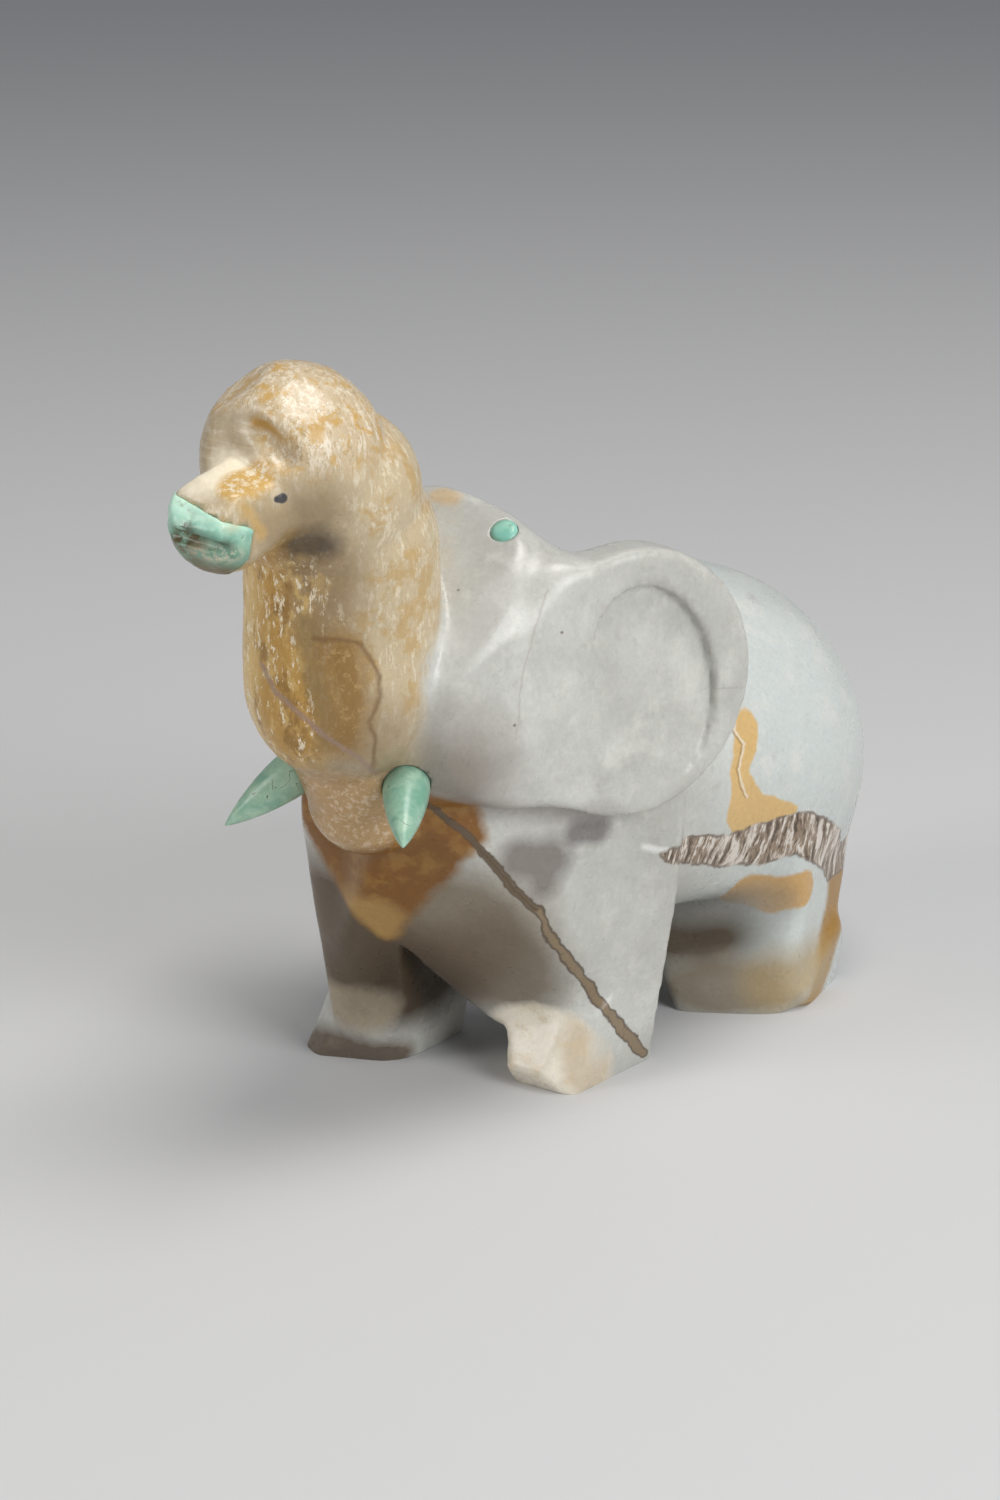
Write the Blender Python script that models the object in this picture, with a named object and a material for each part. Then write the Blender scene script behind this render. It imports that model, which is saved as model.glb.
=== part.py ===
"""Elephant carving in mottled marble, with turquoise tusks, eyes and trunk tip.

Metres, +Z up. The elephant faces -Y, so its left side is at +X. The stone is described as a
distance field of nodes and meshed by Blender: rough masses are joined with fillets, then facets,
grooves and sockets are cut. Its proportions are shares of HEIGHT.
"""

import math

import bmesh
import bpy
from mathutils import Matrix, Vector

# Driving sizes, in metres.
HEIGHT = 0.070
TUSK_DIAMETER = 0.0040
TUSK_LENGTH = 0.0075
TUSK_ROOT = 0.0022
EYE_DIAMETER = 0.0023
EYE_DEPTH = 0.0014
EYE_SWELL = 0.00012
GLUE_GAP = 0.0003

# Fineness of the meshes: the grid that the stone is carved on, and the share of faces kept.
BODY_GRID = 0.0007
TIP_GRID = 0.00035
BODY_SHARE = 0.105
TIP_SHARE = 0.12
TURNING_STEPS = 20
TUSK_RINGS = 8

# One millimetre on the carving at its real height: every free-form share is counted in it.
MM = HEIGHT / 70.0

# The blocks that are carved, as low and high corners in those millimetres.
BODY_BLOCK = ((-28, -36, -2), (28, 66, 74))
TIP_BLOCK = ((-8, -33, 50), (8, -20, 64))

# Colours of the two stones.
MARBLE = (0.60, 0.58, 0.53)
TURQUOISE = (0.20, 0.52, 0.38)


class Field:
    """A number that Blender's nodes work out at each point of the block."""

    def __init__(self, tree, socket):
        self.tree = tree
        self.socket = socket

    def math(self, operation, *values):
        node = self.tree.nodes.new("ShaderNodeMath")
        node.operation = operation
        for entry, value in zip(node.inputs, (self, *values)):
            if isinstance(value, Field):
                self.tree.links.new(value.socket, entry)
            else:
                entry.default_value = value
        return Field(self.tree, node.outputs[0])

    def __add__(self, other):
        return self.math("ADD", other)

    def __sub__(self, other):
        return self.math("SUBTRACT", other)

    def __mul__(self, other):
        return self.math("MULTIPLY", other)

    def __truediv__(self, other):
        return self.math("DIVIDE", other)

    def __neg__(self):
        return self.math("MULTIPLY", -1.0)


class Point:
    """The place where a field is worked out, as a vector of nodes."""

    def __init__(self, tree, socket):
        self.tree = tree
        self.socket = socket

    def math(self, operation, value=None):
        node = self.tree.nodes.new("ShaderNodeVectorMath")
        node.operation = operation
        self.tree.links.new(self.socket, node.inputs[0])
        if isinstance(value, Point):
            self.tree.links.new(value.socket, node.inputs[1])
        elif value is not None:
            node.inputs[1].default_value = value
        number = operation in ("LENGTH", "DOT_PRODUCT")
        out = node.outputs["Value" if number else "Vector"]
        return (Field if number else Point)(self.tree, out)

    def turned(self, angles):
        """The point seen from axes that are turned by these angles, in degrees."""
        if not any(angles):
            return self
        node = self.tree.nodes.new("ShaderNodeVectorRotate")
        node.rotation_type = "EULER_XYZ"
        node.invert = True
        self.tree.links.new(self.socket, node.inputs["Vector"])
        node.inputs["Rotation"].default_value = [math.radians(a) for a in angles]
        return Point(self.tree, node.outputs[0])


def scaled(values):
    """Shares in the carving's millimetres as metres."""
    return Vector(values) * MM


def ellipsoid(point, centre, radii, turn=(0, 0, 0)):
    local = point.math("SUBTRACT", scaled(centre)).turned(turn)
    near = local.math("DIVIDE", scaled(radii))
    reach = near.math("LENGTH")
    slope = near.math("DIVIDE", scaled(radii)).math("LENGTH")
    return reach * (reach - 1.0) / slope


def bone(point, start, end, start_radius, end_radius, flatten=(1, 1, 1)):
    """A round-ended taper from start to end, narrowed along X, Y or Z by flatten."""
    stretch = Vector([1 / f for f in flatten])
    first, last = scaled(start) * stretch, scaled(end) * stretch
    way = last - first
    local = point.math("MULTIPLY", stretch).math("SUBTRACT", first)
    along = (local.math("DOT_PRODUCT", way) / way.length_squared).math("MAXIMUM", 0.0)
    along = along.math("MINIMUM", 1.0)
    spine = local.tree.nodes.new("ShaderNodeVectorMath")
    spine.operation = "SCALE"
    spine.inputs[0].default_value = way
    local.tree.links.new(along.socket, spine.inputs["Scale"])
    off = local.math("SUBTRACT", Point(local.tree, spine.outputs[0])).math("LENGTH")
    return off - (along * ((end_radius - start_radius) * MM) + start_radius * MM)


def slab(point, place, normal):
    """Everything below a plane through place: positive on the side that normal points to."""
    away = Vector(normal).normalized()
    return point.math("SUBTRACT", scaled(place)).math("DOT_PRODUCT", away)


def join(first, second, fillet):
    """Two masses in one, with a hollow fillet where they meet."""
    return first.math("SMOOTH_MIN", second, fillet * MM)


def common(first, second, edge):
    """What two masses share, with its edge rounded."""
    return first.math("SMOOTH_MAX", second, edge * MM)


def cut(first, second, edge):
    return common(first, -second, edge)


def faceted(point, shape, planes, edge):
    """The part of a shape below every plane, each given by a place and a normal."""
    for place, normal in planes:
        shape = common(shape, slab(point, place, normal), edge)
    return shape


def torso(p):
    body = ellipsoid(p, (0, 30, 25), (17.0, 25, 16.0))
    rump = ellipsoid(p, (0, 41.5, 21.8), (18.8, 17.6, 17.8))
    shape = join(body, rump, 8)
    shape = common(shape, slab(p, (0, 30, 11.0), (0, 0, -1)), 5)
    neck = ellipsoid(p, (0, 14, 33), (14.5, 17, 13.5))
    return join(shape, neck, 8)


def head(p):
    skull = ellipsoid(p, (0, 2, 43), (12.3, 14.5, 15.5))
    cheeks = ellipsoid(p, (0, 0.5, 36), (12.6, 11, 7.6))
    skull = join(skull, cheeks, 5)
    for side in (1, -1):
        temple = ellipsoid(p, (side * 7.5, 8, 43), (6.0, 8.0, 9.0))
        skull = join(skull, temple, 4)
        local = ear_axes(p, side)
        flat = ellipsoid(local, (0, -9, -1.5), (1000, 10.0, 8.4))
        flat = join(flat, ellipsoid(local, (0, -5, 3.2), (1000, 7.0, 9.4)), 3)
        flat = common(flat, slab(local, (side * 0.35, 0, 0), (side, 0, 0)), 3)
        flat = common(flat, slab(local, (-side * 6.0, 0, 0), (-side, 0, 0)), 1.4)
        skull = join(skull, flat, 3)
    for side in (1, -1):
        skull = faceted(p, skull, (
            ((side * 8.15, 2.2, 52.1), (side * 0.15, -0.61, 0.78)),
            ((side * 11.1, -3.6, 45.6), (side * 0.45, -0.65, 0.61)),
        ), 1.0)
        skull = faceted(p, skull, (
            ((side * 11.0, 3.6, 52.7), (side * 0.45, 0.25, 0.86)),
            ((side * 5.0, 5.4, 54.8), (side * 0.15, 0.78, 0.60)),
        ), 2.6)
    return skull


def trunk(p):
    column = bone(p, (0, -9.8, 41.0), (0, -9.9, 53), 8.5, 8.5)
    column = faceted(p, column, (
        ((-3.8, -17.6, 46), (-0.55, -0.83, 0)),
        ((3.6, -17.4, 46), (0.42, -0.9, 0.02)),
    ), 0.6)
    fold = ellipsoid(p, (0, -12.1, 58.0), (8.4, 8.5, 8.2))
    dome = ellipsoid(p, (0, -15.5, 61.7), (7.9, 7.8, 8.1))
    dome = faceted(p, dome, (
        ((-2.5, -22.2, 64), (0.26, -0.94, 0.22)),
        ((4.5, -20.2, 66.2), (0.55, -0.45, 0.70)),
        ((-2, -17.5, 68.8), (-0.45, -0.40, 0.80)),
    ), 0.7)
    shape = join(join(column, fold, 0.3), dome, 0.3)
    snout = bone(p, (0, -14, 60.6), (0, -24.4, 58.3), 5.3, 4.5)
    snout = faceted(p, snout, (
        ((0, -28.3, 57.5), (0.1, -0.97, -0.2)),
        ((2.2, -24, 61.6), (0.3, -0.2, 0.93)),
        ((4.5, -22, 58.5), (0.91, -0.28, 0.1)),
        ((-3.6, -24, 60.8), (-0.6, -0.2, 0.77)),
    ), 0.6)
    notch = bone(p, (-3.4, -29.3, 57.9), (3.2, -28.6, 57.0), 1.15, 1.0, (1, 1, 0.75))
    return join(shape, cut(snout, notch, 0.3), 0.8)


def ear_axes(p, side):
    """The point seen from the middle of an ear's outer face, with X straight out of it."""
    return p.math("SUBTRACT", scaled((side * 16.5, 10.0, 39.0))).turned((0, 0, -side * 23.2))


def ear(p, side):
    local = ear_axes(p, side)
    flap = ellipsoid(local, (0, 0, 0), (1000, 12.1, 12.0))
    flap = common(flap, slab(local, (side * 0.4, 0, 0), (side, 0, 0)), 1.4)
    return common(flap, slab(local, (-side * 4.0, 0, 0), (-side, 0, 0)), 1.4)


def ear_dish(p, side):
    """The hollow of an ear, deepest at its upper front and running out to nothing behind."""
    local = ear_axes(p, side)
    oval = ellipsoid(local, (0, 1.6, -0.4), (1000, 6.5, 9.3), (15, 0, 0))
    return common(oval, slab(local, (side * 0.12, 0, 0), (-side, 0.05, -0.10)), 0.3)


def jaw(p):
    lip = bone(p, (0, -6.0, 34), (-0.6, -5.2, 29.8), 6.8, 5.4)
    return faceted(p, lip, (((0, -11.8, 31), (0.2, -0.95, -0.25)),), 1.0)


def chest(p):
    front = faceted(p, ellipsoid(p, (0.2, 10, 21), (14.2, 17.5, 17)), (
        ((8.7, 7.8, 9.5), (0.36, -0.80, -0.48)),
        ((8.2, -2.1, 26.5), (0.88, -0.467, -0.079)),
    ), 1.6)
    return faceted(p, front, (
        ((-1, -6.0, 19.5), (-0.1, -0.85, -0.52)),
        ((-9, -0.8, 16), (-0.42, -0.90, -0.05)),
    ), 0.9)


def front_left_leg(p):
    upper = faceted(p, bone(p, (7.5, 11.5, 26), (8.5, 12.5, 4), 11.5, 9.0), (
        ((12.5, 19.1, 0), (0.95, -0.2, -0.2)),
        ((8, 19.6, 0), (0, 1, 0.02)),
        ((8.7, 8.0, 9.0), (0.05, -0.88, -0.42)),
        ((12.0, 11.5, 8.9), (0.72, -0.69, -0.1)),
        ((8.2, -2.1, 26.5), (0.88, -0.467, -0.079)),
    ), 1.4)
    toes = faceted(p, ellipsoid(p, (8.8, 12, 2.5), (9, 9, 7)), (
        ((8.5, 6.4, 2.2), (0.02, -0.88, 0.47)),
        ((8.5, 7.1, 0.7), (0, -0.78, -0.62)),
        ((11.7, 8.6, 2), (0.75, -0.64, 0.2)),
        ((5.1, 8, 1.0), (-0.93, -0.3, -0.15)),
        ((8.5, 8.6, 6.6), (0.1, -0.5, 0.86)),
        ((12.4, 14, 1), (0.97, -0.05, -0.1)),
        ((8, 19.2, 1), (0, 1, 0)),
    ), 0.5)
    return join(upper, toes, 0.9)


def front_right_leg(p):
    upper = faceted(p, bone(p, (-7.5, 5.5, 25), (-9.2, 8.0, 5), 9.0, 6.4), (
        ((-12.4, 4, 14), (-0.94, -0.33, -0.05)),
    ), 1.2)
    toes = faceted(p, ellipsoid(p, (-10, 8.5, 2.0), (9, 9, 6)), (
        ((-15.1, 4, 0.5), (-0.95, -0.12, 0.28)),
        ((-13.6, 2.5, 0.8), (-0.45, -0.80, 0.40)),
        ((-10, 1.9, 1.4), (0.1, -0.86, 0.50)),
        ((-9, 2.9, 0.6), (0.35, -0.80, -0.48)),
        ((-5.6, 6, 0.4), (0.86, -0.44, -0.25)),
        ((-10.5, 7, 6.4), (0, -0.25, 0.97)),
        ((-10, 14.5, 3), (0, 1, 0)),
    ), 0.6)
    return join(upper, toes, 1.2)


def front_arch(p):
    """The pointed space between the front legs, a little to the right of the middle."""
    return faceted(p, slab(p, (5.2, 8, 0), (0.885, 0, 0.468)), (
        ((-5.2, 8, 0), (-0.97, 0, 0.2)),
        ((0, 24, 0), (0, 1, 0)),
    ), 1.5)


def rear_leg(p, side):
    leg = faceted(p, ellipsoid(p, (side * 9.5, 38, 14), (10.5, 15, 20)), (
        ((side * 17.4, 39, 5), (side * 0.98, 0.2, -0.04)),
        ((side * 14, 48.0, 3), (side * 0.25, 0.93, -0.25)),
        ((side * 14.2, 33.5, 8), (side * 0.5, -0.86, 0.0)),
        ((side * 6.8, 38, 0), (-side * 0.953, -0.1, -0.303)),
    ), 2.5)
    hollow = bone(p, (side * 6.0, 25.3, 9.2), (side * 19.6, 33.2, 10.6), 4.2, 3.5, (1, 1, 0.75))
    toes = faceted(p, ellipsoid(p, (side * 12.5, 40, 3.0), (8, 9, 6.4)), (
        ((side * 17.8, 40, 2.5), (side * 0.97, 0.2, -0.1)),
        ((side * 14.5, 35.0, 3.2), (side * 0.55, -0.78, 0.3)),
        ((side * 14.5, 35.9, 0.6), (side * 0.42, -0.62, -0.66)),
        ((side * 13, 47.8, 2), (side * 0.2, 0.9, -0.3)),
        ((side * 12, 40, 6.6), (side * 0.45, -0.35, 0.82)),
        ((side * 7.0, 40, 1), (-side * 0.95, -0.2, -0.25)),
    ), 1.0)
    return join(cut(leg, hollow, 3.0), toes, 2.0)


def tail(p):
    """A short tail in low relief down the middle of the rump, with a tuft at its end."""
    spots = (
        ((0, 51.6, 36.0), 1.0), ((0, 55.4, 32.0), 1.4), ((0.1, 57.3, 28.5), 1.45), ((0.2, 58.3, 25), 1.4),
        ((0.4, 58.6, 21.5), 1.35), ((0.6, 58.1, 18), 1.5), ((0.7, 56.9, 14.5), 1.9),
    )
    shape = None
    for (start, start_radius), (end, end_radius) in zip(spots, spots[1:]):
        piece = bone(p, start, end, start_radius, end_radius)
        shape = shape.math("MINIMUM", piece) if shape else piece
    return shape


def stone_field(p):
    """The whole carving in stone, before the cap and the sockets are cut."""
    skull = head(p)
    for side in (1, -1):
        skull = join(skull, ear(p, side), 2.5)
    shape = join(torso(p), skull, 1.2)
    for side in (1, -1):
        shape = cut(shape, ear_dish(p, side), 0.5)
    shape = join(shape, chest(p), 1.5)
    shape = join(shape, jaw(p), 0.8)
    shape = join(shape, trunk(p), 0.8)
    shape = join(shape, front_left_leg(p), 2.5)
    shape = join(shape, front_right_leg(p), 1.5)
    shape = cut(shape, front_arch(p), 0.8)
    for side in (1, -1):
        shape = join(shape, rear_leg(p, side), 2)
    shape = join(shape, tail(p), 1.0)
    return common(shape, slab(p, (0, 0, -1), (0, 0, -1)), 0.2)


def tip_region(p):
    """The lower front of the trunk's end, where the turquoise cap is let in."""
    above = slab(p, (0, -26.5, 59.5), (0.28, 0.25, 1))
    behind = slab(p, (4.4, -25.4, 57), (0.25, 1, -0.25))
    return common(above, behind, 0.5)


def body_field(p):
    return cut(stone_field(p), tip_region(p) - GLUE_GAP, 0.1)


def tip_field(p):
    return common(stone_field(p), tip_region(p), 0.15)


def stone_material(name, colour, roughness):
    material = bpy.data.materials.new(name)
    material.use_nodes = True
    shader = material.node_tree.nodes["Principled BSDF"]
    shader.inputs["Base Color"].default_value = (*colour, 1)
    shader.inputs["Roughness"].default_value = roughness
    shader.inputs["Metallic"].default_value = 0.0
    return material


def carve(name, field_of, block, grid, material, share):
    """An object whose mesh is the zero surface of a field, inside a block."""
    low, high = block
    tree = bpy.data.node_groups.new(name, "GeometryNodeTree")
    tree.interface.new_socket("Geometry", in_out="OUTPUT", socket_type="NodeSocketGeometry")
    place = tree.nodes.new("GeometryNodeInputPosition")
    field = field_of(Point(tree, place.outputs[0]))
    cube = tree.nodes.new("GeometryNodeVolumeCube")
    cube.inputs["Background"].default_value = -1.0
    cube.inputs["Min"].default_value = scaled(low)
    cube.inputs["Max"].default_value = scaled(high)
    for axis, a, b in zip("XYZ", low, high):
        cube.inputs["Resolution " + axis].default_value = round((b - a) * MM / grid)
    density = -field / grid + 1.0
    tree.links.new(density.socket, cube.inputs["Density"])
    skin = tree.nodes.new("GeometryNodeVolumeToMesh")
    skin.inputs["Threshold"].default_value = 1.0
    tree.links.new(cube.outputs[0], skin.inputs["Volume"])
    paint = tree.nodes.new("GeometryNodeSetMaterial")
    paint.inputs["Material"].default_value = material
    tree.links.new(skin.outputs[0], paint.inputs[0])
    smooth = tree.nodes.new("GeometryNodeSetShadeSmooth")
    tree.links.new(paint.outputs[0], smooth.inputs[0])
    out = tree.nodes.new("NodeGroupOutput")
    tree.links.new(smooth.outputs[0], out.inputs[0])
    mesh = bpy.data.meshes.new(name)
    mesh.materials.append(material)
    obj = bpy.data.objects.new(name, mesh)
    bpy.context.scene.collection.objects.link(obj)
    obj.modifiers.new("Carve", "NODES").node_group = tree
    fewer = obj.modifiers.new("Fewer faces", "DECIMATE")
    fewer.ratio = share
    return obj


def turned_piece(name, profile, place, way, material=None):
    """A piece turned about its own axis, from (radius, height) pairs, its +Z laid along way."""
    work = bmesh.new()
    ring = [work.verts.new((radius, 0, height)) for radius, height in profile]
    edges = [work.edges.new(pair) for pair in zip(ring, ring[1:])]
    bmesh.ops.spin(work, geom=ring + edges, cent=(0, 0, 0), axis=(0, 0, 1),
                   angle=math.tau, steps=TURNING_STEPS)
    bmesh.ops.remove_doubles(work, verts=work.verts, dist=1e-6)
    bmesh.ops.recalc_face_normals(work, faces=work.faces)
    stand = Vector(way).to_track_quat("Z", "X").to_matrix().to_4x4()
    bmesh.ops.transform(work, matrix=Matrix.Translation(scaled(place)) @ stand, verts=work.verts)
    mesh = bpy.data.meshes.new(name)
    work.to_mesh(mesh)
    work.free()
    for face in mesh.polygons:
        face.use_smooth = True
    obj = bpy.data.objects.new(name, mesh)
    bpy.context.scene.collection.objects.link(obj)
    if material:
        mesh.materials.append(material)
    return obj


def cut_away(obj, cutter):
    cutter.hide_render = True
    cutter.display_type = "WIRE"
    hole = obj.modifiers.new(cutter.name, "BOOLEAN")
    hole.operation = "DIFFERENCE"
    hole.solver = "EXACT"
    hole.object = cutter


def tusk_profile():
    """A round root, then a full cone that closes in a small blunt point."""
    radius = TUSK_DIAMETER / 2
    rows = [(0, -TUSK_ROOT), (radius, -TUSK_ROOT)]
    for step in range(TUSK_RINGS):
        along = step / TUSK_RINGS
        rows.append((radius * (1 - along ** 1.6) ** 0.85, TUSK_LENGTH * along))
    return rows + [(0, TUSK_LENGTH)]


def eye_profile():
    """A flat-bottomed disc with a slightly swollen face."""
    radius = EYE_DIAMETER / 2
    face = [(radius, 0), (radius * 0.6, EYE_SWELL * 0.7), (0, EYE_SWELL)]
    return [(0, -EYE_DEPTH), (radius, -EYE_DEPTH)] + face


def socket_profile(diameter, depth, reach):
    """A round hole with the gap for glue round the inlay, open for a reach above its mouth."""
    radius = diameter / 2 + GLUE_GAP
    return [(0, -depth - GLUE_GAP), (radius, -depth - GLUE_GAP), (radius, reach), (0, reach)]


def floor_cutter():
    """A block whose top is the ground, which cuts the soles flat."""
    mesh = bpy.data.meshes.new("floor")
    work = bmesh.new()
    bmesh.ops.create_cube(work, size=2.5 * HEIGHT)
    bmesh.ops.translate(work, vec=(0, 0.2 * HEIGHT, -1.25 * HEIGHT), verts=work.verts)
    work.to_mesh(mesh)
    work.free()
    obj = bpy.data.objects.new("floor", mesh)
    bpy.context.scene.collection.objects.link(obj)
    return obj


def to_standing_origin(objects):
    """Moves all by one step, so the middle of the outline from above comes to X = Y = 0."""
    graph = bpy.context.evaluated_depsgraph_get()
    points = []
    for obj in objects:
        if not obj.hide_render:
            mesh = obj.evaluated_get(graph).to_mesh()
            points += [vertex.co.copy() for vertex in mesh.vertices]
    for obj in objects:
        obj.location.x = -(min(p.x for p in points) + max(p.x for p in points)) / 2
        obj.location.y = -(min(p.y for p in points) + max(p.y for p in points)) / 2


def main():
    for obj in list(bpy.data.objects):
        bpy.data.objects.remove(obj)
    marble = stone_material("marble", MARBLE, 0.33)
    body = carve("elephant_body", body_field, BODY_BLOCK, BODY_GRID, marble, BODY_SHARE)
    cap = stone_material("cap_turquoise", TURQUOISE, 0.35)
    carve("trunk_tip_inlay", tip_field, TIP_BLOCK, TIP_GRID, cap, TIP_SHARE)
    cut_away(body, floor_cutter())
    for side, word, base, way in (
        (1, "left", (6.5, -9.3, 32.7), (0.53, -0.76, -0.37)),
        (-1, "right", (-6.5, -8.4, 31.4), (-0.53, -0.61, -0.58)),
    ):
        turquoise = stone_material("tusk_turquoise_" + word, TURQUOISE, 0.35)
        turned_piece("tusk_" + word, tusk_profile(), base, way, turquoise)
        socket = socket_profile(TUSK_DIAMETER, TUSK_ROOT, 2 * MM)
        cut_away(body, turned_piece("tusk_socket_" + word, socket, base, way))
        turquoise = stone_material("eye_turquoise_" + word, TURQUOISE, 0.35)
        place, up = (side * 7.7, 3.0, 52.78), (side * 0.17, -0.59, 0.79)
        turned_piece("eye_" + word, eye_profile(), place, up, turquoise)
        socket = socket_profile(EYE_DIAMETER, EYE_DEPTH, 2 * MM)
        cut_away(body, turned_piece("eye_socket_" + word, socket, place, up))
    to_standing_origin(list(bpy.data.objects))


main()
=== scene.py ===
"""The elephant carving dressed: fine stone surfaces, mottled marble, turquoise, light and camera."""

import math

import bmesh
import bpy
from mathutils import Matrix, Vector


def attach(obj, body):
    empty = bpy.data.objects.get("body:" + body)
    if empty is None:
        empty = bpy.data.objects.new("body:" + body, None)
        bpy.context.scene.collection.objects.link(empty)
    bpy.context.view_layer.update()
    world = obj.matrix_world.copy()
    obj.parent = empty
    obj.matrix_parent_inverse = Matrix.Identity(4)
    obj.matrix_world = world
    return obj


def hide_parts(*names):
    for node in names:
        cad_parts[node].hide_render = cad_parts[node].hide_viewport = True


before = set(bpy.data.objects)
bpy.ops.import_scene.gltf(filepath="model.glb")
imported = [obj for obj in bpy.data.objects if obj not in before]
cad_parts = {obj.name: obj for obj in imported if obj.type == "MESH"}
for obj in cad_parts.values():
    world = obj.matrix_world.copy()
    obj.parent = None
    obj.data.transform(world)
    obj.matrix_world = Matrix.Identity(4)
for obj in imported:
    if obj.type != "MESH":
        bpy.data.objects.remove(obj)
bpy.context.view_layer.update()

HEIGHT = 0.070
MM = HEIGHT / 70.0

# How far the carving's own coordinates are moved to stand on the shared origin.
SHIFT = Vector((0, -0.015613, 0))

TUSK_DIAMETER = 0.0040
TUSK_LENGTH = 0.0075
TUSK_ROOT = 0.0022
EYE_DIAMETER = 0.0023
EYE_DEPTH = 0.0014
EYE_SWELL = 0.00012
GLUE_GAP = 0.00008
CAP_OVERLAP = 0.00010

BODY_GRID = 0.00045
TIP_GRID = 0.00016
BODY_BLOCK = ((-28, -36, -2), (28, 66, 74))
TIP_BLOCK = ((-8, -33, 50), (8, -20, 64))
TURNING_STEPS = 64
TUSK_RINGS = 40

# Depths of the hand-worked surface, in millimetres.
SWAY_DEPTH = 0.34
CHIP_DEPTH = 0.42
DIMPLE_DEPTH = 0.40
FLAT_DEPTH = 0.26
MEAN_DEPTH = 0.20
DENT_DEPTH = 0.45
MEAN_DENT = 0.18

# Each tusk's side, place, direction, pale colour and deep colour.
TUSKS = (
    ("left", (6.5, -9.3, 32.7), (0.53, -0.76, -0.37), (0.36, 0.54, 0.41), (0.18, 0.37, 0.27)),
    ("right", (-6.5, -8.4, 31.4), (-0.53, -0.61, -0.58), (0.46, 0.66, 0.50), (0.26, 0.48, 0.35)),
)
EYE_COLOURS = ((0.36, 0.66, 0.53), (0.22, 0.52, 0.42))
CAP_COLOURS = ((0.52, 0.80, 0.64), (0.24, 0.52, 0.40))

# The camera looks at a point of the carving from a bearing and a height in degrees.
LOOKED_AT = (0.0044, 0.007, 0.0315)
BEARING = 36
RISE = 18
CAMERA_DISTANCE = 0.312
FLOOR_GREY = 0.62
AMBIENT = 0.22


class Field:
    """A number that Blender's nodes work out at each point of the block."""

    def __init__(self, tree, socket):
        self.tree = tree
        self.socket = socket

    def math(self, operation, *values):
        node = self.tree.nodes.new("ShaderNodeMath")
        node.operation = operation
        for entry, value in zip(node.inputs, (self, *values)):
            if isinstance(value, Field):
                self.tree.links.new(value.socket, entry)
            else:
                entry.default_value = value
        return Field(self.tree, node.outputs[0])

    def __add__(self, other):
        return self.math("ADD", other)

    def __sub__(self, other):
        return self.math("SUBTRACT", other)

    def __mul__(self, other):
        return self.math("MULTIPLY", other)

    def __truediv__(self, other):
        return self.math("DIVIDE", other)

    def __neg__(self):
        return self.math("MULTIPLY", -1.0)


class Point:
    """The place where a field is worked out, as a vector of nodes."""

    def __init__(self, tree, socket):
        self.tree = tree
        self.socket = socket

    def math(self, operation, value=None):
        node = self.tree.nodes.new("ShaderNodeVectorMath")
        node.operation = operation
        self.tree.links.new(self.socket, node.inputs[0])
        if operation == "SCALE":
            node.inputs["Scale"].default_value = value
            return Point(self.tree, node.outputs[0])
        if isinstance(value, Point):
            self.tree.links.new(value.socket, node.inputs[1])
        elif value is not None:
            node.inputs[1].default_value = value
        number = operation in ("LENGTH", "DOT_PRODUCT")
        out = node.outputs["Value" if number else "Vector"]
        return (Field if number else Point)(self.tree, out)

    def turned(self, angles):
        """The point seen from axes that are turned by these angles, in degrees."""
        if not any(angles):
            return self
        node = self.tree.nodes.new("ShaderNodeVectorRotate")
        node.rotation_type = "EULER_XYZ"
        node.invert = True
        self.tree.links.new(self.socket, node.inputs["Vector"])
        node.inputs["Rotation"].default_value = [math.radians(a) for a in angles]
        return Point(self.tree, node.outputs[0])


def scaled(values):
    """Shares in the carving's millimetres as metres."""
    return Vector(values) * MM


def ellipsoid(point, centre, radii, turn=(0, 0, 0)):
    local = point.math("SUBTRACT", scaled(centre)).turned(turn)
    near = local.math("DIVIDE", scaled(radii))
    reach = near.math("LENGTH")
    slope = near.math("DIVIDE", scaled(radii)).math("LENGTH")
    return reach * (reach - 1.0) / slope


def bone(point, start, end, start_radius, end_radius, flatten=(1, 1, 1)):
    """A round-ended taper from start to end, narrowed along X, Y or Z by flatten."""
    stretch = Vector([1 / f for f in flatten])
    first, last = scaled(start) * stretch, scaled(end) * stretch
    way = last - first
    local = point.math("MULTIPLY", stretch).math("SUBTRACT", first)
    along = (local.math("DOT_PRODUCT", way) / way.length_squared).math("MAXIMUM", 0.0)
    along = along.math("MINIMUM", 1.0)
    spine = local.tree.nodes.new("ShaderNodeVectorMath")
    spine.operation = "SCALE"
    spine.inputs[0].default_value = way
    local.tree.links.new(along.socket, spine.inputs["Scale"])
    off = local.math("SUBTRACT", Point(local.tree, spine.outputs[0])).math("LENGTH")
    return off - (along * ((end_radius - start_radius) * MM) + start_radius * MM)


def slab(point, place, normal):
    """Everything below a plane through place: positive on the side that normal points to."""
    away = Vector(normal).normalized()
    return point.math("SUBTRACT", scaled(place)).math("DOT_PRODUCT", away)


def join(first, second, fillet):
    """Two masses in one, with a hollow fillet where they meet."""
    return first.math("SMOOTH_MIN", second, fillet * MM)


def common(first, second, edge):
    """What two masses share, with its edge rounded."""
    return first.math("SMOOTH_MAX", second, edge * MM)


def cut(first, second, edge):
    return common(first, -second, edge)


def faceted(point, shape, planes, edge):
    """The part of a shape below every plane, each given by a place and a normal."""
    for place, normal in planes:
        shape = common(shape, slab(point, place, normal), edge)
    return shape


def torso(p):
    body = ellipsoid(p, (0, 30, 25), (17.0, 25, 16.0))
    rump = ellipsoid(p, (0, 41.5, 21.8), (18.8, 17.6, 17.8))
    shape = join(body, rump, 8)
    shape = common(shape, slab(p, (0, 30, 11.0), (0, 0, -1)), 5)
    neck = ellipsoid(p, (0, 14, 33), (14.5, 17, 13.5))
    return join(shape, neck, 8)


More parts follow.
